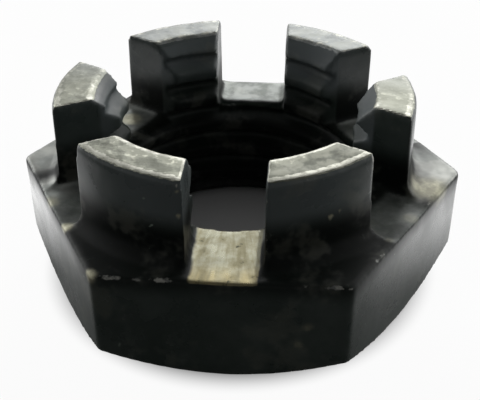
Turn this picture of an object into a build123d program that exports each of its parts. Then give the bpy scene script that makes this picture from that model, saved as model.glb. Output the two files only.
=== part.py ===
"""Castle nut: a hexagon with a round, slotted crown, forged and machined from one piece of steel."""

from build123d import *

import os
from math import cos, pi, radians, sin, tan

# Hexagon, in millimetres. Its corners lie on X, so one flat faces -Y and the opposite one +Y.
side_count = 6
width_across_flats = 24.0
hexagon_height = 7.0
corner_round = 0.5  # radius on the upright edges
bearing_inset = 0.5  # from the flats in to the flat ring that seats on the work
bearing_chamfer_angle = 36.0  # of the turned chamfers, measured from the bearing face
shoulder_inset = 0.36  # from the sharp corners in to where the upper chamfer starts
shoulder_chamfer_angle = 30.0

# Crown: the round collar above the hexagon, which the slots cut into prongs.
nut_height = 12.3
crown_inset = 1.0  # from the flats in to the foot of the crown
crown_draft_angle = 1.6  # the forging narrows a little towards its top
crown_foot_round = 0.9
crown_rim_round = 0.35

# Bore, at the minor diameter of an M16 x 2 thread, with a countersink at each end.
bore_diameter = 14.1
top_countersink_width = 1.5  # from the bore out to the countersink's mouth
bottom_countersink_width = 0.95
countersink_angle = 45.0  # of both cones, measured from the axis

# Slots for the split pin, one over the middle of each flat.
slot_width = 4.45
slot_sink = 0.1  # the cutter runs this far into the hexagon
slot_corner_round = 0.4

# Radii, worked out from the sizes above.
flat_distance = width_across_flats / 2
corner_distance = flat_distance / cos(pi / side_count)
bearing_radius = flat_distance - bearing_inset
shoulder_radius = corner_distance - shoulder_inset
crown_foot_radius = flat_distance - crown_inset
crown_taper = (nut_height - hexagon_height) * tan(radians(crown_draft_angle))
crown_top_radius = crown_foot_radius - crown_taper
bore_radius = bore_diameter / 2
top_countersink_radius = bore_radius + top_countersink_width
bottom_countersink_radius = bore_radius + bottom_countersink_width

# Heights and depths along the axis.
bearing_chamfer_rise = (corner_distance - bearing_radius) * tan(radians(bearing_chamfer_angle))
shoulder_chamfer_drop = shoulder_inset * tan(radians(shoulder_chamfer_angle))
countersink_slope = tan(radians(countersink_angle))
top_countersink_depth = top_countersink_width / countersink_slope
bottom_countersink_depth = bottom_countersink_width / countersink_slope
slot_floor_height = hexagon_height - slot_sink
cutter_overrun = 1.0  # how far the slot cutter stands above the prongs


def slot_planes():
    """Upright planes, one for each slot: origin on the axis at the slot's floor, facing out over a flat."""
    turn = 2 * pi / side_count
    for index in range(side_count):
        angle = (index + 0.5) * turn
        outward = (cos(angle), sin(angle), 0)
        sideways = (-sin(angle), cos(angle), 0)
        yield Plane(origin=(0, 0, slot_floor_height), x_dir=sideways, z_dir=outward)


with BuildPart() as castle_nut:
    # Hexagon bar, as tall as the whole nut.
    with BuildSketch():
        RegularPolygon(radius=flat_distance, side_count=side_count, major_radius=False)
    extrude(amount=nut_height)
    fillet(castle_nut.edges().filter_by(Axis.Z), radius=corner_round)

    # Everything turned, in one section: bearing face, chamfers, shoulder, crown, bore and countersinks.
    crown_foot = (crown_foot_radius, hexagon_height)
    crown_rim = (crown_top_radius, nut_height)
    with BuildSketch(Plane.XZ) as turned_section:
        with BuildLine():
            Polyline(
                (bottom_countersink_radius, 0),
                (bearing_radius, 0),
                (corner_distance, bearing_chamfer_rise),
                (corner_distance, hexagon_height - shoulder_chamfer_drop),
                (shoulder_radius, hexagon_height),
                crown_foot,
                crown_rim,
                (top_countersink_radius, nut_height),
                (bore_radius, nut_height - top_countersink_depth),
                (bore_radius, bottom_countersink_depth),
                close=True,
            )
        make_face()
        fillet(turned_section.vertices().sort_by_distance(crown_foot)[0], radius=crown_foot_round)
        fillet(turned_section.vertices().sort_by_distance(crown_rim)[0], radius=crown_rim_round)
    revolve(axis=Axis.Z, mode=Mode.INTERSECT)

    # Slots with rounded floor corners, cut from the bore out past the flats.
    with BuildSketch(*slot_planes()) as slot_section:
        Rectangle(
            slot_width,
            nut_height - slot_floor_height + cutter_overrun,
            align=(Align.CENTER, Align.MIN),
        )
        fillet(slot_section.vertices().group_by(Axis.Y)[0], radius=slot_corner_round)
    extrude(amount=corner_distance, mode=Mode.SUBTRACT)

castle_nut.part.label = "castle_nut"

os.makedirs("parts", exist_ok=True)
export_step(castle_nut.part, "parts/castle_nut.step")
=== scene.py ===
"""Castle nut in worn black steel, on a plain pale floor in soft light."""

from __future__ import annotations

import logging
from contextlib import contextmanager
from dataclasses import dataclass
from enum import Enum
from math import cos, pi, radians, sin, tan
from typing import Callable, Iterator, Union

import bmesh
import bpy
import numpy as np
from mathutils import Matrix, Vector


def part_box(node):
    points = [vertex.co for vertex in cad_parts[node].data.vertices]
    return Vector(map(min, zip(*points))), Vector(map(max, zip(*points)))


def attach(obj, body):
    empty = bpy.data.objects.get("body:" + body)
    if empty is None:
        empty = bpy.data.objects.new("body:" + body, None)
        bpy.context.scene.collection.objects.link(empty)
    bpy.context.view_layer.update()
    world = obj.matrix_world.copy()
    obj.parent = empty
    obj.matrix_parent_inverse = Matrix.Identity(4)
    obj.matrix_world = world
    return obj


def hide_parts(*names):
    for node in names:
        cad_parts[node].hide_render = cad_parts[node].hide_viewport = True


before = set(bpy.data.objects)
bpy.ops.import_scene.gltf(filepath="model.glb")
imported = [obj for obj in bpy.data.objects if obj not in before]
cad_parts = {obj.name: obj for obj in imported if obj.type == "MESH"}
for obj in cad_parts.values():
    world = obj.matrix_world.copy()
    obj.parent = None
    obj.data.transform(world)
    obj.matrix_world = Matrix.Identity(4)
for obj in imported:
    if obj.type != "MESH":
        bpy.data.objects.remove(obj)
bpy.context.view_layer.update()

MM = 0.001
UP = Vector((0.0, 0.0, 1.0))
NODE = "castle_nut"
RIM_GROUP = "rims"

Colour = tuple[float, float, float]
Socket = bpy.types.NodeSocket
Value = Union[float, int, tuple, Vector, Socket]

log = logging.getLogger("castle_nut")


# ---------------------------------------------------------------------------
# Hand tools, and smooth changes
# ---------------------------------------------------------------------------


class Cut(Enum):
    """How one solid works on another."""

    KEEP_COMMON = "INTERSECT"
    TAKE_AWAY = "DIFFERENCE"


def select_only(piece: bpy.types.Object) -> None:
    """Leaves one object selected and active, in object mode.

    Args:
        piece: The object to work on.
    """
    bpy.ops.object.select_all(action="DESELECT")
    piece.select_set(True)
    bpy.context.view_layer.objects.active = piece


@contextmanager
def editing(piece: bpy.types.Object) -> Iterator[None]:
    """Opens a piece in edit mode, ready to pick edges, with nothing selected, and closes it afterwards.

    Args:
        piece: The object to edit.

    Yields:
        Nothing: the piece is open inside the with block.
    """
    select_only(piece)
    bpy.ops.object.mode_set(mode="EDIT")
    bpy.ops.mesh.select_mode(type="EDGE")
    bpy.ops.mesh.select_all(action="DESELECT")
    yield
    bpy.ops.object.mode_set(mode="OBJECT")


def pick_edges(piece: bpy.types.Object, test: Callable[[Vector, Vector], bool]) -> None:
    """Selects the edges of a piece in edit mode by the places of their ends.

    Args:
        piece: The object being edited.
        test: Takes an edge's two ends and says whether it is wanted.
    """
    mesh = bmesh.from_edit_mesh(piece.data)
    for edge in mesh.edges:
        edge.select_set(test(edge.verts[0].co, edge.verts[1].co))
    bmesh.update_edit_mesh(piece.data)


def named_last(name: str) -> bpy.types.Object:
    """Names the object that an operator has just added, and sets its place into its mesh.

    Args:
        name: The object's new name.

    Returns:
        The object.
    """
    piece = bpy.context.active_object
    piece.name = piece.data.name = name
    select_only(piece)
    bpy.ops.object.transform_apply(location=True, rotation=True, scale=True)
    return piece


def modify(piece: bpy.types.Object, kind: str, **settings: object) -> None:
    """Adds a modifier to a piece and applies it.

    Args:
        piece: The object to change.
        kind: Blender's name for the modifier.
        settings: The modifier's settings.
    """
    select_only(piece)
    bpy.ops.object.modifier_add(type=kind)
    modifier = piece.modifiers[-1]
    for name, value in settings.items():
        setattr(modifier, name, value)
    bpy.ops.object.modifier_apply(modifier=modifier.name)


def machine(piece: bpy.types.Object, tool: bpy.types.Object, cut: Cut) -> None:
    """Works on a piece with another solid, which is used up.

    Args:
        piece: The object to change.
        tool: The solid that works on it.
        cut: Whether the common part is kept or taken away.
    """
    modify(piece, "BOOLEAN", object=tool, operation=cut.value, solver="EXACT")
    bpy.data.objects.remove(tool)


@dataclass(frozen=True)
class Fade:
    """A smooth change along some measure.

    Args:
        start: Where it starts.
        end: Where it ends, which may be the lower number.
        first: The value up to the start.
        last: The value from the end on.
    """

    start: float
    end: float
    first: float = 0.0
    last: float = 1.0

    def of(self, values: np.ndarray) -> np.ndarray:
        """Works out the value for each number of an array."""
        share = np.clip((values - self.start) / (self.end - self.start), 0.0, 1.0)
        return self.first + (self.last - self.first) * share * share * (3.0 - 2.0 * share)


# ---------------------------------------------------------------------------
# The nut's sizes
# ---------------------------------------------------------------------------


@dataclass(frozen=True)
class NutSizes:
    """Sizes of the nut, in metres, with its corners on X and two of its flats facing along Y.

    Args:
        across_flats: The hexagon's width, read from the frame.
        height: The nut's height, read from the frame.
        sides: How many flats and slots there are.
        hexagon_height: The height of the hexagon, up to the crown's foot.
        corner_round: The radius of the hexagon's upright edges.
        bearing_inset: How far inside the flats the chamfer underneath starts.
        bearing_slope: How steeply that chamfer rises.
        shoulder_inset: How far inside the corners the hexagon's top ends.
        shoulder_slope: How steeply the shoulder's chamfer rises.
        crown_inset: How far inside the flats the crown's foot lies.
        crown_draft: How much the crown narrows for its height.
        crown_shift: How far the crown stands off the hexagon's axis.
        crown_foot_round: The radius of the fillet at the crown's foot.
        crown_rim_round: The radius of the crown's outer rim.
        bore_radius: The radius to the thread's crests.
        top_countersink: The width of the upper countersink.
        bottom_countersink: The width of the lower countersink.
        slot_sink: How far the slots' floors lie under the hexagon's top.
        slot_corner_round: The radius of the corners along the slots' floors.
    """

    across_flats: float
    height: float
    sides: int = 6
    hexagon_height: float = 7.0 * MM
    corner_round: float = 0.5 * MM
    bearing_inset: float = 0.5 * MM
    bearing_slope: float = tan(radians(36.0))
    shoulder_inset: float = 0.36 * MM
    shoulder_slope: float = tan(radians(30.0))
    crown_inset: float = 1.0 * MM
    crown_draft: float = tan(radians(1.6))
    crown_shift: Vector = Vector((-0.22, 0.1, 0.0)) * MM
    crown_foot_round: float = 0.9 * MM
    crown_rim_round: float = 0.35 * MM
    bore_radius: float = 7.05 * MM
    top_countersink: float = 1.5 * MM
    bottom_countersink: float = 0.95 * MM
    slot_sink: float = 0.1 * MM
    slot_corner_round: float = 0.4 * MM

    @classmethod
    def from_frame(cls) -> NutSizes:
        """Reads the overall sizes from the CAD node's box.

        Returns:
            The nut's sizes.
        """
        low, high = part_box(NODE)
        return cls(across_flats=high.y - low.y, height=high.z - low.z)

    @property
    def flat_distance(self) -> float:
        """From the axis to a flat."""
        return self.across_flats / 2

    @property
    def corner_distance(self) -> float:
        """From the axis to a sharp corner of the hexagon."""
        return self.flat_distance / cos(pi / self.sides)

    @property
    def bearing_radius(self) -> float:
        """Outer radius of the flat ring underneath."""
        return self.flat_distance - self.bearing_inset

    @property
    def crown_foot_radius(self) -> float:
        """Radius where the crown meets the top of the hexagon."""
        return self.flat_distance - self.crown_inset

    @property
    def crown_top_radius(self) -> float:
        """Radius of the crown at its top."""
        return self.crown_foot_radius - (self.height - self.hexagon_height) * self.crown_draft

    @property
    def slot_floor(self) -> float:
        """Height of the slots' floors."""
        return self.hexagon_height - self.slot_sink


class Mask(Enum):
    """Masks stored on the nut's mesh, from 0 to 1 at each point."""

    TOPS = "prong_tops"
    FLOORS = "slot_floors"
    GREYED = "greyed_floors"
    SOOT = "dark_floor_ends"
    WEAR = "edge_wear"
    KNOCKS = "edge_knocks_and_highlight"
    RIMS = "worn_highlit_rims"
    RUBBED = "rubbed_highlit_corners"
    SCRAPES = "scrapes"
    DULLED = "dulled_tops"


@dataclass(frozen=True)
class Slot:
    """One slot as it came out of the milling machine, a little off its true place.

    Args:
        bearing: Its direction from the axis, in degrees anticlockwise from X.
        clockwise: From its true middle to the wall on that side, in metres, seen from above.
        anticlockwise: From its true middle to the other wall.
        bare: How bare its floor is, from 0 to 1.
        bare_from: The radius at which the bare part starts.
        mask: Which mask its floor goes to.
    """

    bearing: float
    clockwise: float
    anticlockwise: float
    bare: float
    bare_from: float = 6.5 * MM
    mask: Mask = Mask.GREYED

    @property
    def outward(self) -> Vector:
        """Along the slot, away from the axis."""
        return Vector((cos(radians(self.bearing)), sin(radians(self.bearing)), 0.0))

    @property
    def sideways(self) -> Vector:
        """Across the slot, anticlockwise."""
        return UP.cross(self.outward)


SLOTS = (
    Slot(bearing=30.0, clockwise=2.75 * MM, anticlockwise=1.75 * MM, bare=0.7, bare_from=8.2 * MM),
    Slot(bearing=90.0, clockwise=2.55 * MM, anticlockwise=2.0 * MM, bare=0.8, bare_from=8.9 * MM),
    Slot(bearing=150.0, clockwise=2.4 * MM, anticlockwise=2.3 * MM, bare=0.6, bare_from=8.4 * MM),
    Slot(bearing=210.0, clockwise=2.45 * MM, anticlockwise=2.0 * MM, bare=0.5, bare_from=9.2 * MM),
    Slot(bearing=270.0, clockwise=1.98 * MM, anticlockwise=2.2 * MM, bare=1.0, mask=Mask.FLOORS),
    Slot(bearing=330.0, clockwise=2.15 * MM, anticlockwise=2.35 * MM, bare=0.45, bare_from=9.2 * MM),
)


# ---------------------------------------------------------------------------
# The nut's solids
# ---------------------------------------------------------------------------


def rounded_corner(before: Vector, corner: Vector, after: Vector, radius: float, steps: int) -> list[Vector]:
    """Points of the arc that rounds a corner of a turned section.

    Args:
        before: The point before the corner, as (radius, height).
        corner: The corner itself.
        after: The point after it.
        radius: The arc's radius.
        steps: How many straight steps stand for the arc.

    Returns:
        The arc's points, in order, from one tangent point to the other.
    """
    back = (before - corner).normalized()
    onward = (after - corner).normalized()
    half_angle = back.angle(onward) / 2
    centre = corner + (back + onward).normalized() * (radius / sin(half_angle))
    first = corner + back * (radius / tan(half_angle)) - centre
    last = corner + onward * (radius / tan(half_angle)) - centre
    points = []
    for step in range(steps + 1):
        spoke = first.lerp(last, step / steps).normalized() * radius
        points.append(centre + spoke)
    return points


@dataclass(frozen=True)
class TurnedBlank:
    """Everything of the nut that a lathe makes: chamfers, shoulder, crown, bore and countersinks.

    Args:
        sizes: The nut's sizes.
        facets: How many flat strips stand for a full turn.
        round_steps: How many straight steps stand for each fillet.
    """

    sizes: NutSizes
    facets: int = 180
    round_steps: int = 5

    def hexagon_section(self) -> list[Vector]:
        """The section of what was turned in the first chuck: the bearing face's edge and the shoulder.

        Returns:
            Points as (radius, height), upwards.
        """
        s = self.sizes
        shoulder_drop = s.shoulder_inset * s.shoulder_slope
        bearing_rise = (s.corner_distance - s.bearing_radius) * s.bearing_slope
        return [
            Vector((s.bearing_radius, 0.0)),
            Vector((s.corner_distance, bearing_rise)),
            Vector((s.corner_distance, s.hexagon_height - shoulder_drop)),
            Vector((s.corner_distance - s.shoulder_inset, s.hexagon_height)),
        ]

    def crown_section(self) -> list[Vector]:
        """The section of what was turned in the second chuck: the crown and the mouth of its countersink.

        Returns:
            Points as (radius, height), up the outside and over the top.
        """
        s = self.sizes
        shoulder = self.hexagon_section()[-1]
        foot = Vector((s.crown_foot_radius, s.hexagon_height))
        rim = Vector((s.crown_top_radius, s.height))
        mouth = Vector((s.bore_radius + s.top_countersink, s.height))
        return [
            *rounded_corner(shoulder, foot, rim, s.crown_foot_round, self.round_steps),
            *rounded_corner(foot, rim, mouth, s.crown_rim_round, self.round_steps),
            mouth,
        ]

    def bore_section(self) -> list[Vector]:
        """The section of the drilled bore with the countersink underneath.

        Returns:
            Points as (radius, height), downwards.
        """
        s = self.sizes
        return [
            Vector((s.bore_radius, s.height - s.top_countersink)),
            Vector((s.bore_radius, s.bottom_countersink)),
            Vector((s.bore_radius + s.bottom_countersink, 0.0)),
        ]

    def build(self) -> bpy.types.Object:
        """Draws the sections ring by ring, the crown a little off the nut's axis, and joins their ends.

        Returns:
            The closed solid.
        """
        rings = [(point, Vector()) for point in self.hexagon_section()]
        rings += [(point, self.sizes.crown_shift) for point in self.crown_section()]
        rings += [(point, Vector()) for point in self.bore_section()]
        first = rings[0][0]
        bpy.ops.mesh.primitive_circle_add(vertices=self.facets, radius=first.x, location=(0.0, 0.0, first.y))
        blank = named_last("turned_blank")
        with editing(blank):
            bpy.ops.mesh.select_all(action="SELECT")
            for (here, centre), (there, next_centre) in zip(rings, rings[1:]):
                move = next_centre - centre + UP * (there.y - here.y)
                bpy.ops.mesh.extrude_region_move(TRANSFORM_OT_translate={"value": move})
                share = there.x / here.x
                middle = next_centre + UP * there.y
                bpy.ops.transform.resize(value=(share, share, 1.0), center_override=middle)
            bpy.ops.mesh.select_non_manifold()
            bpy.ops.mesh.bridge_edge_loops()
            bpy.ops.mesh.select_all(action="SELECT")
            bpy.ops.mesh.normals_make_consistent(inside=False)
        return blank


@dataclass(frozen=True)
class HexagonBar:
    """The bar that the nut is cut from, with rounded upright edges.

    Args:
        sizes: The nut's sizes.
        round_steps: How many straight steps stand for each rounded edge.
    """

    sizes: NutSizes
    round_steps: int = 6

    def build(self) -> bpy.types.Object:
        """Makes the bar as tall as the nut, its corners on X.

        Returns:
            The closed solid.
        """
        s = self.sizes
        bpy.ops.mesh.primitive_cylinder_add(
            vertices=s.sides,
            radius=s.corner_distance,
            depth=s.height,
            location=(0.0, 0.0, s.height / 2),
            rotation=(0.0, 0.0, pi / s.sides),
        )
        bar = named_last("hexagon_bar")
        with editing(bar):
            pick_edges(bar, lambda a, b: abs(a.z - b.z) > s.height / 2)
            bevel_reach = s.corner_round * tan(pi / s.sides)
            bpy.ops.mesh.bevel(offset=bevel_reach, segments=self.round_steps, affect="EDGES")
        return bar


@dataclass(frozen=True)
class ThreadTap:
    """What the tap takes out of the bore: one right-handed helical groove.

    Args:
        sizes: The nut's sizes.
        pitch: How far the groove climbs in a turn, in metres.
        root_radius: How deep it reaches, measured from the axis.
        root_share: The width of its bottom, as a share of the pitch.
        flank_angle: How far each flank leans from level, in degrees.
        clearance: How far its mouth stands clear of the crests, in metres.
        first_height: The height of its middle on the X axis, below the nut.
        turns: How many turns it makes.
        steps: How many straight steps stand for a turn.
    """

    sizes: NutSizes
    pitch: float = 2.0 * MM
    root_radius: float = 8.0 * MM
    root_share: float = 0.125
    flank_angle: float = 30.0
    clearance: float = 0.5 * MM
    first_height: float = -1.77 * MM
    turns: int = 8
    steps: int = 72

    def build(self) -> bpy.types.Object:
        """Draws the groove's section as a plane beside the axis and turns it up the bore.

        Returns:
            The closed solid.
        """
        depth = self.root_radius - self.sizes.bore_radius + self.clearance
        root_width = self.pitch * self.root_share
        mouth_width = root_width + 2 * depth * tan(radians(self.flank_angle))
        middle = Vector((self.root_radius - depth / 2, 0.0, self.first_height))
        bpy.ops.mesh.primitive_plane_add(size=depth, location=middle, rotation=(pi / 2, 0.0, 0.0))
        groove = named_last("thread_tap")
        with editing(groove):
            pick_edges(groove, lambda a, b: max(a.x, b.x) < middle.x)
            bpy.ops.transform.resize(value=(1.0, 1.0, mouth_width / depth), center_override=middle)
            pick_edges(groove, lambda a, b: min(a.x, b.x) > middle.x)
            bpy.ops.transform.resize(value=(1.0, 1.0, root_width / depth), center_override=middle)
            bpy.ops.mesh.select_all(action="SELECT")
            bpy.ops.mesh.delete(type="ONLY_FACE")
        modify(
            groove,
            "SCREW",
            angle=2 * pi,
            screw_offset=self.pitch,
            iterations=self.turns,
            steps=self.steps,
            render_steps=self.steps,
        )
        with editing(groove):
            bpy.ops.mesh.select_all(action="SELECT")
            bpy.ops.mesh.fill_holes(sides=4)
            bpy.ops.mesh.select_all(action="SELECT")
            bpy.ops.mesh.normals_make_consistent(inside=False)
        return groove


@dataclass(frozen=True)
class SlotCutters:
    """The milling cutter's paths, one across each flat, as solids to be taken away.

    Args:
        sizes: The nut's sizes.
        start: How far from the axis each path starts, inside the bore.
        overrun: How far it goes past the corners and the crown's top.
        round_steps: How many straight steps stand for each rounded corner.
    """

    sizes: NutSizes
    start: float = 4.6 * MM
    overrun: float = 1.0 * MM
    round_steps: int = 5

    def build_one(self, slot: Slot) -> bpy.types.Object:
        """Makes the solid that one slot leaves, with rounded floor corners.

        Args:
            slot: The slot.

        Returns:
            The closed solid.
        """
        s = self.sizes
        length = s.corner_distance + self.overrun - self.start
        height = s.height + self.overrun - s.slot_floor
        middle = s.slot_floor + height / 2
        along = slot.outward * (self.start + length / 2)
        across = slot.sideways * ((slot.anticlockwise - slot.clockwise) / 2)
        bpy.ops.mesh.primitive_cube_add(
            size=1.0,
            location=along + across + UP * middle,
            rotation=(0.0, 0.0, radians(slot.bearing)),
            scale=(length, slot.anticlockwise + slot.clockwise, height),
        )
        cutter = named_last("slot_cutter")
        with editing(cutter):
            pick_edges(
                cutter,
                lambda a, b: max(a.z, b.z) < middle and abs((a - b).dot(slot.outward)) > length / 2,
            )
            bpy.ops.mesh.bevel(offset=s.slot_corner_round, segments=self.round_steps, affect="EDGES")
        return cutter

    def build(self) -> bpy.types.Object:
        """Makes every slot's solid and joins them.

        Returns:
            One object that holds them all.
        """
        cutters = [self.build_one(slot) for slot in SLOTS]
        select_only(cutters[0])
        for cutter in cutters:
            cutter.select_set(True)
        bpy.ops.object.join()
        return cutters[0]


# ---------------------------------------------------------------------------
# Finishes
# ---------------------------------------------------------------------------


@dataclass(frozen=True)
class Grain:
    """A cloudy pattern that runs from about 0.25 to 0.75.

    Args:
        size: Its largest features, in metres.
        detail: How many finer layers it has.
        rough: How strong those are.
    """

    size: float
    detail: float = 4.0
    rough: float = 0.6


@dataclass(frozen=True)
class Specks:
    """Small ragged spots of different strengths.

    Args:
        gap: The distance between spots, in metres.
        spread: A spot's radius, as a share of the gap.
        core: How much of that radius is solid.
        raggedness: How far swirls push the spots about, as a share of the gap.
        swirls: How many swirls there are in a gap.
        swirl_detail: How many finer layers the swirls have.
        strengths: Turns each spot's chance number into its strength.
    """

    gap: float
    spread: float
    core: float = 0.4
    raggedness: float = 0.45
    swirls: float = 3.0
    swirl_detail: float = 3.0
    strengths: Fade = Fade(0.45, 1.0)


class Bench:
    """Adds shader nodes to a material or a world and joins them up."""

    def __init__(self, owner: bpy.types.Material | bpy.types.World) -> None:
        """Clears the nodes that are there and starts with the coordinates.

        Args:
            owner: The material or world to work in.
        """
        owner.use_nodes = True
        self.tree = owner.node_tree
        self.tree.nodes.clear()
        self.coordinates = self.add("ShaderNodeTexCoord", {})
        self.place = self.coordinates.outputs["Object"]

    def add(self, kind: str, inputs: dict[str | int, Value], **settings: object) -> bpy.types.Node:
        """Adds a node.

        Args:
            kind: Blender's name for the node.
            inputs: A number, colour or socket for each input to be set.
            settings: The node's own settings.

        Returns:
            The node.
        """
        node = self.tree.nodes.new(kind)
        for name, value in settings.items():
            setattr(node, name, value)
        for name, value in inputs.items():
            if isinstance(value, bpy.types.NodeSocket):
                self.tree.links.new(value, node.inputs[name])
            else:
                node.inputs[name].default_value = value
        return node

    def math(self, operation: str, *values: Value) -> Socket:
        """Works out a number with a Math node."""
        return self.add("ShaderNodeMath", dict(enumerate(values)), operation=operation).outputs[0]

    def times(self, first: Value, second: Value) -> Socket:
        """Multiplies two numbers."""
        return self.math("MULTIPLY", first, second)

    def larger(self, first: Value, second: Value) -> Socket:
        """Takes the larger of two numbers."""
        return self.math("MAXIMUM", first, second)

    def fade(self, value: Value, fade: Fade) -> Socket:
        """Works out a smooth change.

        Args:
            value: The measure that it goes along.
            fade: The change.

        Returns:
            The value there.
        """
        return self.add(
            "ShaderNodeMapRange",
            {0: value, 1: fade.start, 2: fade.end, 3: fade.first, 4: fade.last},
            interpolation_type="SMOOTHSTEP",
        ).outputs[0]

    def blend(self, share: Value, first: Value, second: Value) -> Socket:
        """Mixes two numbers, from the first at 0 to the second at 1."""
        return self.add("ShaderNodeMix", {0: share, 2: first, 3: second}, data_type="FLOAT").outputs[0]

    def tint(self, share: Value, first: Colour | Socket, second: Colour | Socket) -> Socket:
        """Mixes two colours.

        Args:
            share: How much of the second there is, from 0 to 1.
            first: The colour at 0.
            second: The colour at 1.

        Returns:
            The mixed colour.
        """
        colours = {6: first, 7: second}
        inputs = {k: (*c, 1.0) if isinstance(c, tuple) else c for k, c in colours.items()}
        return self.add("ShaderNodeMix", {0: share, **inputs}, data_type="RGBA").outputs[2]

    def split(self, vector: Socket) -> tuple[Socket, Socket, Socket]:
        """Takes a vector apart, into its parts along X, Y and Z."""
        return tuple(self.add("ShaderNodeSeparateXYZ", {0: vector}).outputs)

    def length(self, vector: Socket) -> Socket:
        """Measures a vector's length."""
        return self.add("ShaderNodeVectorMath", {0: vector}, operation="LENGTH").outputs["Value"]

    def noise(self, grain: Grain, at: Socket | None = None) -> Socket:
        """Makes a cloudy pattern.

        Args:
            grain: What it is like.
            at: Where to read it, if not at the object's own coordinates.

        Returns:
            The pattern.
        """
        return self.add(
            "ShaderNodeTexNoise",
            {
                "Vector": at or self.place,
                "Scale": 1.0 / grain.size,
                "Detail": grain.detail,
                "Roughness": grain.rough,
            },
        ).outputs[0]

    def specks(self, specks: Specks) -> Socket:
        """Makes small ragged spots.

        Args:
            specks: What they are like.

        Returns:
            The pattern, 1 in the middle of the strongest.
        """
        gap = specks.gap
        swirl = self.add(
            "ShaderNodeTexNoise",
            {"Vector": self.place, "Scale": specks.swirls / gap, "Detail": specks.swirl_detail},
        )
        pushed = self.add(
            "ShaderNodeVectorMath",
            {0: swirl.outputs["Color"], 1: (gap * specks.raggedness,) * 3, 2: self.place},
            operation="MULTIPLY_ADD",
        ).outputs[0]
        cells = self.add("ShaderNodeTexVoronoi", {"Vector": pushed, "Scale": 1.0 / gap})
        strength = self.fade(self.split(cells.outputs["Color"])[0], specks.strengths)
        spot = self.fade(cells.outputs["Distance"], Fade(specks.spread, specks.spread * specks.core))
        return self.times(spot, strength)

    def mask(self, mask: Mask) -> Socket:
        """Reads a mask that is stored on the piece."""
        return self.add("ShaderNodeAttribute", {}, attribute_name=mask.value).outputs["Fac"]


@dataclass(frozen=True)
class Layer:
    """What one finish gives the shader.

    Args:
        colour: Its colour.
        metal: How metallic it is.
        roughness: Its roughness.
        height: Its unevenness, in metres.
        shine: How strongly it mirrors where it isn't metal.
    """

    colour: Socket
    metal: Value
    roughness: Value
    height: Socket
    shine: Value = 0.5

    def under(self, bench: Bench, top: Layer, share: Socket) -> Layer:
        """Lays another finish over this one.

        Args:
            bench: Where the nodes are made.
            top: The finish on top.
            share: 1 where only the top finish shows.

        Returns:
            The two together.
        """
        return Layer(
            colour=bench.tint(share, self.colour, top.colour),
            metal=bench.blend(share, self.metal, top.metal),
            roughness=bench.blend(share, self.roughness, top.roughness),
            height=bench.blend(share, self.height, top.height),
            shine=bench.blend(share, self.shine, top.shine),
        )


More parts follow.
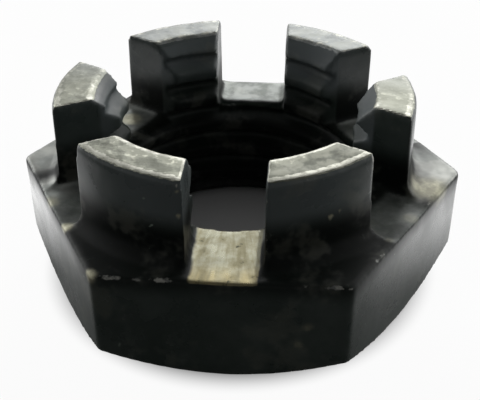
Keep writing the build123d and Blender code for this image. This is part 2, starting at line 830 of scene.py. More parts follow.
@dataclass(frozen=True)
class BlackOxide:
    """Oiled black scale on forged steel: nearly black with a green cast, half glossy, lightly scuffed.

    A painted glare haze lightens the crown's upper half, and painted light lifts the thread's grooves there
    against their shade. Painted shade darkens the crown's foot and the threaded bore, which are also the
    dullest.
    """

    deep: Colour = (0.022, 0.031, 0.026)
    faded: Colour = (0.038, 0.048, 0.042)
    clouds: Grain = Grain(3.2 * MM)
    cloud_tones: Fade = Fade(0.38, 0.68)
    gloss: Fade = Fade(0.3, 0.7, 0.22, 0.36)
    shine: Fade = Fade(7.2 * MM, 8.0 * MM, 0.5, 0.33)
    grain: Grain = Grain(0.35 * MM, detail=3.0)
    grain_depth: float = 0.006 * MM
    inside: Fade = Fade(8.45 * MM, 8.15 * MM)

    # Painted glare: a pale haze on the upper crown, and painted light in the thread's roots.
    painted_glare: Colour = (0.085, 0.098, 0.100)
    painted_glare_rise: Fade = Fade(8.8 * MM, 10.2 * MM)
    painted_glare_left: Fade = Fade(-7.0 * MM, -4.0 * MM, 0.25, 0.65)
    painted_glare_right: Fade = Fade(5.5 * MM, 8.0 * MM, 1.0, 0.2)
    painted_glare_in_bore: Fade = Fade(1.0 * MM, 5.0 * MM, 0.65, 1.0)
    painted_light_in_grooves: Fade = Fade(7.2 * MM, 7.9 * MM, 0.6, 1.3)

    # Painted shade: near black, darker and duller round the crown's foot and down the threaded bore.
    painted_shade: Colour = (0.003, 0.0045, 0.0036)
    painted_shade_shine: float = 0.1
    painted_shade_roughness: float = 0.5
    foot_height: float = 7.9 * MM
    painted_shade_at_foot: Fade = Fade(2.4 * MM, 0.6 * MM)
    painted_shade_at_foot_inside: float = 0.35
    painted_shade_down_bore: Fade = Fade(9.4 * MM, 7.6 * MM)
    painted_shade_in_grooves: Fade = Fade(7.2 * MM, 7.9 * MM, 0.95, 0.45)
    bore_dullness: float = 0.6

    scuffed: Colour = (0.16, 0.19, 0.16)
    scuffs: Grain = Grain(0.9 * MM, detail=6.0, rough=0.75)
    scuff_spots: Fade = Fade(0.6, 0.74)
    scuff_places: Fade = Fade(0.46, 0.6)
    scuff_share: float = 0.2
    specks: Specks = Specks(1.7 * MM, 0.085)

    def layer(self, bench: Bench) -> Layer:
        """Makes the finish's nodes.

        Args:
            bench: Where they are made.

        Returns:
            The finish.
        """
        x, y, z = bench.split(bench.place)
        reach = bench.length(bench.add("ShaderNodeCombineXYZ", {0: x, 1: y}).outputs[0])
        inside = bench.fade(reach, self.inside)
        clouds = bench.noise(self.clouds)
        colour = bench.tint(bench.fade(clouds, self.cloud_tones), self.deep, self.faded)

        # Painted glare: a pale haze over the crown's upper half, weaker at its far left and right, and
        # painted light that lifts the thread's roots against their shade.
        outer_painted_glare = bench.times(bench.fade(x, self.painted_glare_left), bench.fade(x, self.painted_glare_right))
        painted_glare_in_bore = bench.times(bench.fade(x, self.painted_glare_in_bore), bench.fade(reach, self.painted_light_in_grooves))
        painted_glare_share = bench.times(bench.fade(z, self.painted_glare_rise), bench.blend(inside, outer_painted_glare, painted_glare_in_bore))
        colour = bench.tint(painted_glare_share, colour, self.painted_glare)

        # Painted shade round the crown's foot and down the threaded bore.
        from_foot = bench.math("ABSOLUTE", bench.math("SUBTRACT", z, self.foot_height))
        foot_share = bench.blend(inside, 1.0, self.painted_shade_at_foot_inside)
        at_foot = bench.times(bench.fade(from_foot, self.painted_shade_at_foot), foot_share)
        in_bore = bench.times(bench.fade(z, self.painted_shade_down_bore), bench.fade(reach, self.painted_shade_in_grooves))
        painted_shade_share = bench.larger(at_foot, bench.times(inside, in_bore))
        colour = bench.tint(painted_shade_share, colour, self.painted_shade)

        spots = bench.fade(bench.noise(self.scuffs), self.scuff_spots)
        spots = bench.times(spots, bench.fade(clouds, self.scuff_places))
        scuffs = bench.larger(bench.times(spots, self.scuff_share), bench.specks(self.specks))
        colour = bench.tint(scuffs, colour, self.scuffed)

        dull = bench.larger(painted_shade_share, bench.times(inside, self.bore_dullness))
        return Layer(
            colour=colour,
            metal=0.0,
            roughness=bench.blend(dull, bench.fade(clouds, self.gloss), self.painted_shade_roughness),
            height=bench.times(bench.noise(self.grain), self.grain_depth),
            shine=bench.blend(dull, bench.fade(z, self.shine), self.painted_shade_shine),
        )


@dataclass(frozen=True)
class FacedSteel:
    """Bare steel on the prongs' tops: grey, dull and bruised, with small bright flecks in front."""

    grey: Colour = (0.27, 0.277, 0.225)
    far_grey: Colour = (0.225, 0.238, 0.232)
    far: Fade = Fade(-1.0 * MM, 5.0 * MM)
    bruised: Colour = (0.10, 0.105, 0.08)
    mottle: Grain = Grain(1.5 * MM)
    bruises: Fade = Fade(0.54, 0.40)
    bruise_share: Fade = Fade(0.0, -5.0 * MM, 0.45, 1.0)
    fleck: Colour = (0.60, 0.60, 0.50)
    flecks: Grain = Grain(0.42 * MM, detail=2.0, rough=0.5)
    fleck_spots: Fade = Fade(0.56, 0.68)
    fleck_places: Fade = Fade(0.42, 0.6)
    fleck_share: Fade = Fade(2.0 * MM, -5.0 * MM, 0.3, 1.0)
    gloss: Fade = Fade(0.35, 0.65, 0.34, 0.52)
    metal: float = 0.75
    depth: float = 0.03 * MM

    def layer(self, bench: Bench) -> Layer:
        """Makes the finish's nodes.

        Args:
            bench: Where they are made.

        Returns:
            The finish.
        """
        mottle = bench.noise(self.mottle)
        flecks = bench.noise(self.flecks)
        _, forward, _ = bench.split(bench.place)
        bruises = bench.times(bench.fade(mottle, self.bruises), bench.fade(forward, self.bruise_share))
        spots = bench.times(bench.fade(flecks, self.fleck_spots), bench.fade(mottle, self.fleck_places))
        colour = bench.tint(bench.fade(forward, self.far), self.grey, self.far_grey)
        colour = bench.tint(bruises, colour, self.bruised)
        colour = bench.tint(bench.times(spots, bench.fade(forward, self.fleck_share)), colour, self.fleck)
        height = bench.times(bench.math("ADD", mottle, flecks), self.depth / 2)
        return Layer(colour, self.metal, bench.fade(mottle, self.gloss), height)


@dataclass(frozen=True)
class MilledSteel:
    """Bare steel on the front slot's floor: pale and warm, with fine streaks along the cut."""

    warm: Colour = (0.17, 0.155, 0.09)
    pale: Colour = (0.225, 0.223, 0.165)
    tones: Fade = Fade(0.4, 0.6)
    mottle: Grain = Grain(0.9 * MM, detail=5.0, rough=0.65)
    streaks: Grain = Grain(1.0, detail=3.0)
    streak_share: float = 0.4
    streak_width: float = 0.35 * MM
    streak_length: float = 3.5 * MM
    middle_radius: float = 9.0 * MM
    film: Colour = (0.27, 0.23, 0.12)
    outer_end: Fade = Fade(12.2 * MM, 13.4 * MM)
    film_streaks: Fade = Fade(0.3, 0.6, 0.3, 0.9)
    stain: Colour = (0.06, 0.06, 0.035)
    stains: Fade = Fade(0.36, 0.29)
    outer_stain: float = -0.05
    gloss: Fade = Fade(0.35, 0.65, 0.42, 0.26)
    metal: float = 0.8
    depth: float = 0.03 * MM

    def layer(self, bench: Bench) -> Layer:
        """Makes the finish's nodes, with a pattern drawn out along the radius, as the slot is cut.

        Args:
            bench: Where they are made.

        Returns:
            The finish.
        """
        x, y, _ = bench.split(bench.place)
        reach = bench.length(bench.place)
        across = bench.times(bench.math("ARCTAN2", y, x), self.middle_radius / self.streak_width)
        along = bench.times(reach, 1.0 / self.streak_length)
        drawn_out = bench.add("ShaderNodeCombineXYZ", {0: across, 1: along}).outputs[0]
        streaks = bench.noise(self.streaks, at=drawn_out)
        mottle = bench.noise(self.mottle)
        tone = bench.blend(self.streak_share, mottle, streaks)
        colour = bench.tint(bench.fade(tone, self.tones), self.warm, self.pale)

        outer = bench.fade(reach, self.outer_end)
        colour = bench.tint(bench.times(outer, bench.fade(streaks, self.film_streaks)), colour, self.film)
        stained = bench.fade(bench.math("MULTIPLY_ADD", outer, self.outer_stain, mottle), self.stains)
        colour = bench.tint(stained, colour, self.stain)
        height = bench.times(bench.math("ADD", streaks, mottle), self.depth / 2)
        return Layer(colour, self.metal, bench.fade(tone, self.gloss), height)


@dataclass(frozen=True)
class RubbedSteel:
    """Steel that the black has been rubbed off, in two tones, also used for painted highlights and for the
    darkened floor ends.

    Args:
        pale: The colour where it is barest.
        dark: The colour where some black is left.
        metal: How metallic it is.
        grain_size: The size of its patches, in metres.
        tones: Where in the pattern the pale tone comes in.
        gloss: Its roughness along the pattern, from the dark tone to the pale one.
        shine: How strongly it mirrors where it isn't metal.
        depth: How deep its unevenness goes, in metres.
    """

    pale: Colour
    dark: Colour
    metal: float
    grain_size: float
    tones: Fade = Fade(0.38, 0.58)
    gloss: Fade = Fade(0.3, 0.7, 0.5, 0.34)
    shine: float = 0.5
    depth: float = 0.01 * MM

    def layer(self, bench: Bench) -> Layer:
        """Makes the finish's nodes.

        Args:
            bench: Where they are made.

        Returns:
            The finish.
        """
        grain = bench.noise(Grain(self.grain_size))
        return Layer(
            colour=bench.tint(bench.fade(grain, self.tones), self.dark, self.pale),
            metal=self.metal,
            roughness=bench.fade(grain, self.gloss),
            height=bench.times(grain, self.depth),
            shine=self.shine,
        )


class Border(Enum):
    """How uneven a bare patch's border is."""

    RAGGED = "ragged"
    SOFT = "soft"
    FAINT = "faint"


@dataclass(frozen=True)
class Coat:
    """A finish that shows where a mask is high.

    Args:
        mask: The mask.
        finish: The finish.
        border: How uneven its border is.
        comes_in: From which value of the mask to which it comes in.
    """

    mask: Mask
    finish: FacedSteel | MilledSteel | RubbedSteel
    border: Border
    comes_in: Fade


GREYED_STEEL = RubbedSteel((0.21, 0.225, 0.21), (0.13, 0.145, 0.13), metal=0.7, grain_size=1.4 * MM)
DULLED_STEEL = RubbedSteel((0.14, 0.143, 0.112), (0.075, 0.079, 0.06), metal=0.75, grain_size=0.9 * MM)
# Pale corners of the hexagon's top: partly worn steel, partly a painted highlight that carries the flats'
# reflection over the corners.
CORNER_WEAR_AND_HIGHLIGHT = RubbedSteel((0.40, 0.41, 0.38), (0.30, 0.32, 0.30), metal=0.7, grain_size=2.0 * MM)
SCRAPED_STEEL = RubbedSteel((0.37, 0.36, 0.25), (0.24, 0.23, 0.16), metal=0.5, grain_size=0.9 * MM)
# Bright lines along the prongs' top edges: worn steel with a painted highlight.
RIM_WEAR_AND_HIGHLIGHT = RubbedSteel((0.52, 0.52, 0.45), (0.33, 0.33, 0.28), metal=0.7, grain_size=0.5 * MM)
EDGE_STEEL = RubbedSteel((0.30, 0.30, 0.27), (0.10, 0.105, 0.10), metal=0.4, grain_size=0.5 * MM)
# Near black and matte, on the slots' floors near the bore.
DARK_ENDS_FINISH = RubbedSteel(
    pale=(0.010, 0.012, 0.010),
    dark=(0.006, 0.008, 0.007),
    metal=0.0,
    grain_size=0.8 * MM,
    gloss=Fade(0.3, 0.7, 0.7, 0.6),
    shine=0.0,
)


@dataclass(frozen=True)
class NutFinish:
    """The nut's whole finish: black scale, worn along its edges, with bare steel in places.

    Args:
        scale: The black all over.
        edge: What shows where edges are worn.
        dark_ends: What darkens the slots' inner ends.
        coats: The bare patches, each laid over those before it.
        ragged: The pattern that breaks borders up.
        ragged_shift: How far it shifts a mask.
        patches: The pattern of larger patches.
        soft_shift: How far that shifts a mask.
        faint_share: How much of the soft shift a faint border has.
        worn_patches: Where in the patches edges are worn.
        worn: From which value of wear to which the edges' finish comes in.
        refraction: The index of refraction of what isn't metal.
    """

    scale: BlackOxide = BlackOxide()
    edge: RubbedSteel = EDGE_STEEL
    dark_ends: RubbedSteel = DARK_ENDS_FINISH
    coats: tuple[Coat, ...] = (
        Coat(Mask.GREYED, GREYED_STEEL, Border.FAINT, Fade(0.0, 1.0)),
        Coat(Mask.FLOORS, MilledSteel(), Border.SOFT, Fade(0.2, 0.85)),
        Coat(Mask.TOPS, FacedSteel(), Border.RAGGED, Fade(0.4, 0.6)),
        Coat(Mask.DULLED, DULLED_STEEL, Border.SOFT, Fade(0.1, 0.9)),
        Coat(Mask.RUBBED, CORNER_WEAR_AND_HIGHLIGHT, Border.FAINT, Fade(0.0, 1.0)),
        Coat(Mask.SCRAPES, SCRAPED_STEEL, Border.FAINT, Fade(0.05, 0.85)),
        Coat(Mask.RIMS, RIM_WEAR_AND_HIGHLIGHT, Border.RAGGED, Fade(0.2, 0.6)),
    )
    ragged: Grain = Grain(0.45 * MM, rough=0.65)
    ragged_shift: Fade = Fade(0.3, 0.7, -0.22, 0.22)
    patches: Grain = Grain(2.2 * MM, detail=3.0)
    soft_shift: Fade = Fade(0.35, 0.65, -0.25, 0.25)
    faint_share: float = 0.4
    worn_patches: Fade = Fade(0.40, 0.56)
    worn: Fade = Fade(0.45, 0.8)
    refraction: float = 1.5

    def layers(self, bench: Bench) -> Layer:
        """Lays all the finishes over one another.

        Args:
            bench: Where the nodes are made.

        Returns:
            The finish that shows.
        """
        patches = bench.noise(self.patches)
        ragged = bench.fade(bench.noise(self.ragged), self.ragged_shift)
        soft = bench.fade(patches, self.soft_shift)
        shifts = {Border.RAGGED: ragged, Border.SOFT: soft, Border.FAINT: bench.times(soft, self.faint_share)}

        wear = bench.times(bench.mask(Mask.WEAR), bench.fade(patches, self.worn_patches))
        # Knocks, with one painted highlight among them.
        wear = bench.larger(wear, bench.mask(Mask.KNOCKS))
        worn = bench.fade(bench.math("ADD", wear, ragged), self.worn)
        layer = self.scale.layer(bench).under(bench, self.edge.layer(bench), worn)
        layer = layer.under(bench, self.dark_ends.layer(bench), bench.mask(Mask.SOOT))
        for coat in self.coats:
            bare = bench.math("ADD", bench.mask(coat.mask), shifts[coat.border])
            layer = layer.under(bench, coat.finish.layer(bench), bench.fade(bare, coat.comes_in))
        return layer

    def build(self) -> bpy.types.Material:
        """Makes the material.

        Returns:
            The material, which reads the masks that the nut carries.
        """
        material = bpy.data.materials.new("worn_black_steel")
        bench = Bench(material)
        layer = self.layers(bench)
        bump = bench.add("ShaderNodeBump", {"Height": layer.height, "Distance": 1.0, "Strength": 1.0})
        shader = bench.add(
            "ShaderNodeBsdfPrincipled",
            {
                "Base Color": layer.colour,
                "Metallic": layer.metal,
                "Roughness": layer.roughness,
                "Specular IOR Level": layer.shine,
                "IOR": self.refraction,
                "Normal": bump.outputs[0],
            },
        )
        bench.add("ShaderNodeOutputMaterial", {"Surface": shader.outputs[0]})
        return material


# ---------------------------------------------------------------------------
# The nut
# ---------------------------------------------------------------------------


@dataclass(frozen=True)
class Mark:
    """A place where the black has come off, the steel is dulled, or a highlight is painted. Its sizes are in
    millimetres.

    Args:
        place: Its middle.
        radius: How far it reaches.
        fade: Half the width of its soft edge.
        share: How strong it is in the middle, from 0 to 1.
    """

    place: tuple[float, float, float]
    radius: float
    fade: float
    share: float

    def cover(self, places: np.ndarray) -> np.ndarray:
        """Works out how much of the mark each point gets, from 0 to its share."""
        away = np.linalg.norm(places - np.array(self.place) * MM, axis=1)
        return Fade((self.radius + self.fade) * MM, (self.radius - self.fade) * MM, last=self.share).of(away)


MARKS = {
    Mask.DULLED: (
        Mark((6.2, -7.7, 12.3), 2.0, 0.9, 1.0),
        Mark((3.3, -9.2, 12.3), 1.4, 0.9, 0.8),
    ),
    # Partly worn steel, partly a painted highlight on the hexagon's top corners.
    Mask.RUBBED: (
        Mark((13.2, 0.6, 7.0), 2.7, 1.5, 0.65),
        Mark((-13.4, 0.5, 7.0), 2.6, 1.4, 0.75),
        Mark((-11.3, -3.7, 7.0), 1.2, 0.7, 0.75),
    ),
    Mask.SCRAPES: (
        Mark((-10.9, -4.9, 6.95), 0.6, 0.4, 0.5),
        Mark((11.7, -2.0, 7.0), 1.2, 0.7, 0.55),
        Mark((-9.3, -7.5, 7.0), 0.45, 0.3, 0.7),
        Mark((-7.05, -11.7, 6.9), 0.45, 0.25, 0.7),
        Mark((-7.9, 5.5, 6.9), 0.8, 0.45, 0.7),
        Mark((10.3, -5.2, 6.9), 0.5, 0.35, 0.3),
        Mark((9.05, -7.5, 7.0), 0.3, 0.25, 0.4),
        Mark((-2.23, -10.67, 10.13), 0.16, 0.1, 0.9),
        Mark((-2.25, -10.66, 11.6), 0.14, 0.1, 0.8),
        Mark((2.05, -10.6, 11.1), 0.14, 0.1, 0.8),
        Mark((5.65, -9.11, 9.43), 0.16, 0.1, 1.0),
        Mark((6.12, -8.79, 9.56), 0.1, 0.1, 0.7),
        Mark((4.67, -12.0, 4.2), 0.3, 0.2, 0.35),
        Mark((4.18, -12.0, 2.9), 0.25, 0.2, 0.35),
    ),
    Mask.KNOCKS: (
        Mark((-5.75, -12.0, 6.95), 0.6, 0.2, 0.76),
        Mark((-4.35, -12.0, 6.95), 0.4, 0.2, 0.72),
        Mark((-2.95, -12.0, 6.95), 0.6, 0.2, 0.8),
        Mark((6.0, -12.0, 6.95), 0.5, 0.2, 0.9),
        Mark((6.9, -12.0, 6.95), 0.3, 0.15, 0.95),
        Mark((7.0, -11.95, 5.2), 0.9, 0.6, 0.5),
        # A painted highlight down the front right prong's right edge, not a knock.
        Mark((6.8, -8.3, 11.3), 1.1, 0.5, 1.0),
    ),
}


@dataclass(frozen=True)
class Surface:
    """A mesh's points, as arrays.

    Args:
        mesh: The mesh.
        places: Where each point is, in metres.
        normals: Which way the surface faces there.
    """

    mesh: bpy.types.Mesh
    places: np.ndarray
    normals: np.ndarray

    @classmethod
    def read(cls, mesh: bpy.types.Mesh) -> Surface:
        """Reads a mesh.

        Args:
            mesh: The mesh.

        Returns:
            Its points.
        """
        arrays = []
        for name in ("co", "normal"):
            values = np.empty(len(mesh.vertices) * 3)
            mesh.vertices.foreach_get(name, values)
            arrays.append(values.reshape(-1, 3))
        return cls(mesh, *arrays)

    def bulge(self) -> np.ndarray:
        """Measures how far each point stands out from the middle of its neighbours.

        Returns:
            The distance for each, in metres, below 0 in hollows.
        """
        ends = np.empty(len(self.mesh.edges) * 2, dtype=np.int64)
        self.mesh.edges.foreach_get("vertices", ends)
        ends = ends.reshape(-1, 2)
        pull = np.zeros_like(self.places)
        links = np.zeros(len(self.places))
        for near, far in ((0, 1), (1, 0)):
            np.add.at(pull, ends[:, near], self.places[ends[:, far]])
            np.add.at(links, ends[:, near], 1.0)
        return ((self.places - pull / links[:, None]) * self.normals).sum(axis=1)

    def store(self, mask: Mask, values: np.ndarray) -> None:
        """Writes a mask to the mesh, from its value at each point."""
        attribute = self.mesh.attributes.new(mask.value, "FLOAT", "POINT")
        attribute.data.foreach_set("value", values.astype(np.float32))


@dataclass(frozen=True)
class MaskPainter:
    """Works out where the nut is bare, sooty or worn, and stores it on its mesh.

    Args:
        sizes: The nut's sizes.
        mesh_step: The mesh's even step, which bulges are measured by.
        upward: How far the surface has to face up to count as a floor.
        top_upward: How far it has to face up to count as a top.
        top_depth: How far under the nut's top the tops' bare steel ends.
        off_floor: How far from the slots' floors theirs ends.
        past_wall: How it ends at a slot's walls.
        past_start: How it starts along a slot.
        off_wall: How the front slot's floor stays clear of its walls.
        rim_near: How far from an edge a bright rim's line reaches.
        rim_past: How it ends past that edge.
        rim_upward: How far the surface has to face up there.
        rim_depth: How far under the nut's top it ends.
        rim_forward: How the rims' lines weaken towards the back.
        least_rim: The least that is left of them.
        worn_bulge: How far a point has to stand out to be worn.
        handled: How much more the crown's upper part is worn.
        out_of_bore: How the wear ends in the bore.
        knocked_bulge: How far a point has to stand out to be knocked bare.
    """

    sizes: NutSizes
    mesh_step: float
    upward: Fade = Fade(0.45, 0.8)
    top_upward: Fade = Fade(0.6, 0.85)
    top_depth: Fade = Fade(0.32 * MM, 0.2 * MM)
    off_floor: Fade = Fade(0.45 * MM, 0.25 * MM)
    past_wall: Fade = Fade(0.1 * MM, -0.1 * MM)
    past_start: Fade = Fade(-0.3 * MM, 0.3 * MM)
    off_wall: Fade = Fade(-0.1 * MM, -0.4 * MM)
    rim_near: Fade = Fade(0.26 * MM, 0.12 * MM)
    rim_past: Fade = Fade(-0.16 * MM, -0.04 * MM)
    rim_upward: Fade = Fade(0.7, 0.85)
    rim_depth: Fade = Fade(0.4 * MM, 0.25 * MM)
    rim_forward: Fade = Fade(2.0 * MM, -4.0 * MM)
    least_rim: float = 0.35
    worn_bulge: Fade = Fade(0.02, 0.14)
    handled: Fade = Fade(10.5 * MM, 11.5 * MM, 0.45, 1.0)
    out_of_bore: Fade = Fade(8.3 * MM, 8.6 * MM)
    knocked_bulge: Fade = Fade(0.05, 0.13)

    def past_walls(self, surface: Surface, slot: Slot) -> tuple[np.ndarray, np.ndarray]:
        """Places each point along and across a slot.

        Args:
            surface: The nut's points.
            slot: The slot.

        Returns:
            How far out along the slot each point is, and how far past its nearer wall, below 0 inside.
        """
        outward = surface.places @ np.array(slot.outward)
        sideways = surface.places @ np.array(slot.sideways)
        return outward, np.maximum(sideways - slot.anticlockwise, -sideways - slot.clockwise)

    def paint_floors(self, surface: Surface) -> None:
        """Stores where the slots' floors are bare, and where their inner ends are darkened.

        Args:
            surface: The nut's points.
        """
        floors = {mask: np.zeros(len(surface.places)) for mask in (Mask.FLOORS, Mask.GREYED, Mask.SOOT)}
        for slot in SLOTS:
            outward, past = self.past_walls(surface, slot)
            inside = self.past_wall.of(past) * (outward > 0.0)
            started = self.past_start.of(outward - slot.bare_from)
            clear = self.off_wall.of(past) if slot.mask is Mask.FLOORS else 1.0
            floors[slot.mask] = np.maximum(floors[slot.mask], inside * started * clear * slot.bare)
            floors[Mask.SOOT] = np.maximum(floors[Mask.SOOT], inside * (1.0 - started))
        near_floor = self.off_floor.of(np.abs(surface.places[:, 2] - self.sizes.slot_floor))
        upward = self.upward.of(surface.normals[:, 2])
        for mask, floor in floors.items():
            surface.store(mask, floor * near_floor * (1.0 if mask is Mask.SOOT else upward))

    def paint_rims(self, surface: Surface, reach: np.ndarray) -> None:
        """Stores the bright lines along the edges of the prongs' tops: worn steel with a painted highlight.

        Args:
            surface: The nut's points.
            reach: How far each is from the crown's axis.
        """
        s = self.sizes
        to_edges = [s.crown_top_radius - s.crown_rim_round - reach, reach - s.bore_radius - s.top_countersink]
        for slot in SLOTS:
            outward, past = self.past_walls(surface, slot)
            to_edges.append(np.where(outward > 0.0, past, s.height))
        to_edge = np.minimum.reduce(to_edges)
        rims = self.rim_near.of(to_edge) * self.rim_past.of(to_edge)
        rims *= self.rim_upward.of(surface.normals[:, 2])
        rims *= self.rim_depth.of(s.height - surface.places[:, 2])
        rims *= self.rim_forward.of(surface.places[:, 1]).clip(self.least_rim)
        surface.store(Mask.RIMS, rims)

    def paint(self, mesh: bpy.types.Mesh) -> None:
        """Stores every mask.

        Args:
            mesh: The finished mesh.
        """
        surface = Surface.read(mesh)
        from_axis = surface.places - np.array(self.sizes.crown_shift)
        reach = np.hypot(from_axis[:, 0], from_axis[:, 1])
        height, facing_up = surface.places[:, 2], surface.normals[:, 2]
        self.paint_floors(surface)
        self.paint_rims(surface, reach)

        tops = self.top_depth.of(self.sizes.height - height) * self.top_upward.of(facing_up)
        bulge = surface.bulge() / self.mesh_step
        wear = self.worn_bulge.of(bulge) * self.handled.of(height) * self.out_of_bore.of(reach)
        surface.store(Mask.TOPS, tops)
        surface.store(Mask.WEAR, wear)
        kept_to = {
            Mask.DULLED: tops,
            Mask.RUBBED: self.upward.of(facing_up),
            Mask.SCRAPES: 1.0,
            Mask.KNOCKS: self.knocked_bulge.of(bulge),
        }
        for mask, where in kept_to.items():
            covers = [mark.cover(surface.places) for mark in MARKS[mask]]
            surface.store(mask, np.maximum.reduce(covers) * where)


@dataclass(frozen=True)
class Roughening:
    """One layer of unevenness, always pressed into the surface.

    Args:
        name: What it is.
        size: The size of its bumps, in metres.
        depth: How deep it goes, in metres.
        layers: How many finer layers it has.
        group: The vertex group that it is kept to, or an empty name for all over.
    """

    name: str
    size: float
    depth: float
    layers: int = 2
    group: str = ""

    def press(self, piece: bpy.types.Object) -> None:
        """Presses the unevenness into a piece.

        Args:
            piece: The object to change.
        """
        pattern = bpy.data.textures.new(self.name, type="CLOUDS")
        pattern.noise_scale = self.size
        pattern.noise_depth = self.layers
        modify(
            piece,
            "DISPLACE",
            texture=pattern,
            texture_coords="LOCAL",
            mid_level=1.0,
            strength=self.depth,
            vertex_group=self.group,
        )


@dataclass(frozen=True)
class CastleNut:
    """The nut itself: one piece of steel, forged, turned, tapped, slotted and blackened.

    Args:
        sizes: Its sizes.
        finish: Its finish.
        mesh_step: The step of its even mesh, in metres.
        softening: How often that mesh is smoothed, which softens its edges.
        rim_reach: How far down from the top the knocks along the prongs' rims go.
        roughenings: The unevenness pressed into it, in order.
    """

    sizes: NutSizes
    finish: NutFinish = NutFinish()
    mesh_step: float = 0.18 * MM
    softening: int = 2
    rim_reach: float = 0.45 * MM
    roughenings: tuple[Roughening, ...] = (
        Roughening("forged_waves", 4.0 * MM, 0.06 * MM),
        Roughening("scale_grain", 0.8 * MM, 0.008 * MM),
        Roughening("rim_knocks", 1.1 * MM, 0.09 * MM, group=RIM_GROUP),
    )

    def shape(self) -> bpy.types.Object:
        """Cuts the bar to the turned section, taps the bore and mills the slots.

        Returns:
            The nut with sharp edges.
        """
        nut = HexagonBar(self.sizes).build()
        machine(nut, TurnedBlank(self.sizes).build(), Cut.KEEP_COMMON)
        machine(nut, ThreadTap(self.sizes).build(), Cut.TAKE_AWAY)
        machine(nut, SlotCutters(self.sizes).build(), Cut.TAKE_AWAY)
        nut.name = nut.data.name = "worn_castle_nut"
        return nut

    def refine(self, nut: bpy.types.Object) -> None:
        """Gives the nut an even mesh with softened edges.

        Args:
            nut: The nut with sharp edges.
        """
        modify(nut, "REMESH", mode="VOXEL", voxel_size=self.mesh_step, use_smooth_shade=True)
        modify(nut, "SMOOTH", factor=0.5, iterations=self.softening)

    def batter(self, nut: bpy.types.Object) -> None:
        """Presses in the forging's unevenness and the knocks along the prongs' rims.

        Args:
            nut: The nut with its even mesh.
        """
        group = nut.vertex_groups.new(name=RIM_GROUP)
        for vertex in nut.data.vertices:
            below = self.sizes.height - vertex.co.z
            if below < self.rim_reach:
                group.add([vertex.index], 1.0 - below / self.rim_reach, "REPLACE")
        for roughening in self.roughenings:
            roughening.press(nut)

    def build(self) -> bpy.types.Object:
        """Makes the nut, dresses it and fixes it to its CAD body.

        Returns:
            The finished piece.
        """
        nut = self.shape()
        self.refine(nut)
        self.batter(nut)
        MaskPainter(self.sizes, self.mesh_step).paint(nut.data)
        nut.data.materials.clear()
        nut.data.materials.append(self.finish.build())
        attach(nut, "root")
        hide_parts(NODE)
        log.info("%s: %d faces", nut.name, len(nut.data.polygons))
        return nut


# ---------------------------------------------------------------------------
# Floor, light and camera
# ---------------------------------------------------------------------------


@dataclass(frozen=True)
class Floor:
    """A pale floor. It reads as white, and keeps the nut's shadow close round its foot.

    Args:
        colour: Its colour.
        front_painted_shade: Its colour in front of the nut, a painted shade that the front flat mirrors and
            that lights it less.
        in_front: How it goes from one to the other along Y.
        width: Its side, in metres.
        shown_white: How much of it the camera sees as plain white, away from the nut.
        mirrored_away: How that grows, as the nut mirrors it, away from the nut.
        mirrored_back: How it grows from front to back.
        mirrored_far: How it weakens far out.
        mirrored_light: How much brighter than white the nut mirrors it.
    """

    colour: Colour = (0.80, 0.80, 0.80)
    front_painted_shade: Colour = (0.14, 0.14, 0.14)
    in_front: Fade = Fade(-4.5 * MM, -14.5 * MM)
    width: float = 4.0
    shown_white: Fade = Fade(10.5 * MM, 13.2 * MM, 0.0, 0.96)
    mirrored_away: Fade = Fade(12.5 * MM, 20.0 * MM)
    mirrored_back: Fade = Fade(-8.5 * MM, -1.5 * MM)
    mirrored_far: Fade = Fade(19.0 * MM, 27.0 * MM, 1.0, 0.2)
    mirrored_light: float = 1.4

    def build(self) -> bpy.types.Object:
        """Makes the floor.

        Returns:
            The floor.
        """
        bpy.ops.mesh.primitive_plane_add(size=self.width)
        floor = named_last("floor")
        floor.data.materials.append(self.material())
        log.info("%s: %.1f m wide", floor.name, self.width)
        return floor

    def material(self) -> bpy.types.Material:
        """Makes the floor's material: lit paper, shown as white away from the nut's foot.

        Returns:
            The material.
        """
        material = bpy.data.materials.new("pale_paper")
        bench = Bench(material)
        reach = bench.length(bench.place)
        _, forward, _ = bench.split(bench.place)
        rays = bench.add("ShaderNodeLightPath", {}).outputs
        glossy = bench.larger(rays["Is Glossy Ray"], rays["Is Transmission Ray"])
        seen = bench.times(rays["Is Camera Ray"], bench.fade(reach, self.shown_white))
        lit = bench.times(bench.fade(reach, self.mirrored_away), bench.fade(forward, self.mirrored_back))
        lit = bench.times(lit, bench.fade(reach, self.mirrored_far))
        # Painted shade: the paper darkens in front of the nut.
        colour = bench.tint(bench.fade(forward, self.in_front), self.colour, self.front_painted_shade)
        paper = bench.add("ShaderNodeBsdfDiffuse", {"Color": colour})
        strength = bench.math("MULTIPLY_ADD", glossy, self.mirrored_light, 1.0)
        white = bench.add("ShaderNodeEmission", {"Color": (1.0, 1.0, 1.0, 1.0), "Strength": strength})
        shown = bench.larger(seen, bench.times(glossy, lit))
        both = bench.add("ShaderNodeMixShader", {0: shown, 1: paper.outputs[0], 2: white.outputs[0]})
        bench.add("ShaderNodeOutputMaterial", {"Surface": both.outputs[0]})
        return material


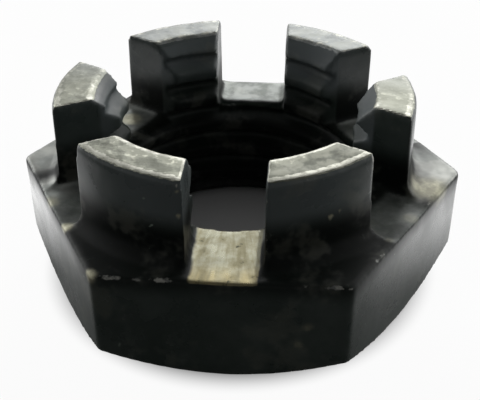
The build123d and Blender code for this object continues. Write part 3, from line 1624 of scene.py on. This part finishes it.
@dataclass(frozen=True)
class Softbox:
    """A square studio lamp with a soft front, aimed at the nut.

    Args:
        name: What it is called.
        bearing: Its direction seen from above, in degrees anticlockwise from X: 90 is behind the nut.
        elevation: Its height above the floor, in degrees.
        width: Its side, in metres.
        brightness: The brightness of its front, where 1 is white.
        distance: From the nut, in metres.
    """

    name: str
    bearing: float
    elevation: float
    width: float
    brightness: float
    distance: float = 0.5

    def build(self) -> bpy.types.Object:
        """Hangs the lamp.

        Returns:
            The lamp.
        """
        bearing, elevation = radians(self.bearing), radians(self.elevation)
        outward = Vector((cos(bearing) * cos(elevation), sin(bearing) * cos(elevation), sin(elevation)))
        bpy.ops.object.light_add(
            type="AREA",
            location=outward * self.distance,
            rotation=outward.to_track_quat("Z", "Y").to_euler(),
        )
        lamp = bpy.context.active_object
        lamp.name = lamp.data.name = self.name
        lamp.data.shape = "SQUARE"
        lamp.data.size = self.width
        lamp.data.energy = self.brightness * pi * self.width**2
        log.info("%s: %.2f W", self.name, lamp.data.energy)
        return lamp


@dataclass(frozen=True)
class Sky:
    """Soft light all round: brightest low down and behind, weak overhead and in front.

    Args:
        upwards: Its strength from near the horizon to near the zenith.
        backwards: The share of it from front to back.
    """

    upwards: Fade = Fade(0.1, 0.85, 1.2, 0.19)
    backwards: Fade = Fade(-0.9, 0.5, 0.22, 1.0)

    def build(self) -> bpy.types.World:
        """Makes the world, which the camera sees as white.

        Returns:
            The world.
        """
        world = bpy.data.worlds.new("soft_room")
        bench = Bench(world)
        bpy.context.scene.world = world
        _, back, up = bench.split(bench.coordinates.outputs["Generated"])
        strength = bench.times(bench.fade(up, self.upwards), bench.fade(back, self.backwards))
        seen = bench.add("ShaderNodeLightPath", {}).outputs["Is Camera Ray"]
        strength = bench.blend(seen, strength, 1.0)
        light = bench.add("ShaderNodeBackground", {"Color": (1.0, 1.0, 1.0, 1.0), "Strength": strength})
        bench.add("ShaderNodeOutputWorld", {"Surface": light.outputs[0]})
        log.info("%s: %.2f low down, %.2f overhead", world.name, self.upwards.first, self.upwards.last)
        return world


@dataclass(frozen=True)
class Viewpoint:
    """The camera: close, in front and looking down at the nut.

    Args:
        place: Where it stands, in metres.
        turn: Its rotation about X, Y and Z, in radians.
        lens: Its focal length, in millimetres.
        sensor: Its sensor's width, in millimetres.
        near: The nearest that it sees, in metres.
        far: The farthest that it sees, in metres.
    """

    place: Vector = Vector((4.075, -47.669, 36.086)) * MM
    turn: tuple[float, float, float] = (0.9827, 0.0065, 0.0793)
    lens: float = 66.38
    sensor: float = 36.0
    near: float = 0.001
    far: float = 10.0

    def build(self) -> bpy.types.Object:
        """Sets up the camera and makes it the scene's own.

        Returns:
            The camera.
        """
        bpy.ops.object.camera_add(location=self.place, rotation=self.turn)
        camera = bpy.context.active_object
        camera.name = camera.data.name = "camera"
        camera.data.sensor_width = self.sensor
        camera.data.lens = self.lens
        camera.data.clip_start = self.near
        camera.data.clip_end = self.far
        bpy.context.scene.camera = camera
        log.info("%s: %.1f mm lens", camera.name, self.lens)
        return camera


@dataclass(frozen=True)
class Studio:
    """The floor, the lamps, the room's light and the camera.

    Args:
        floor: The floor.
        sky: The room's light.
        camera: The camera.
        lamps: The lamps.
    """

    floor: Floor = Floor()
    sky: Sky = Sky()
    camera: Viewpoint = Viewpoint()
    lamps: tuple[Softbox, ...] = (
        Softbox("left_softbox", bearing=150.0, elevation=20.0, width=0.35, brightness=2.0),
        Softbox("right_softbox", bearing=30.0, elevation=20.0, width=0.35, brightness=2.0),
        Softbox("back_softbox", bearing=80.0, elevation=29.0, width=0.39, brightness=2.55),
    )

    def build(self) -> None:
        """Sets up everything round the nut."""
        for fitting in (self.camera, self.floor, self.sky, *self.lamps):
            fitting.build()
        bpy.context.scene.view_settings.view_transform = "Standard"


def main() -> None:
    """Builds the studio and the nut."""
    logging.basicConfig(level=logging.INFO, format="%(name)s: %(message)s")
    Studio().build()
    CastleNut(NutSizes.from_frame()).build()


if __name__ == "__main__":
    main()
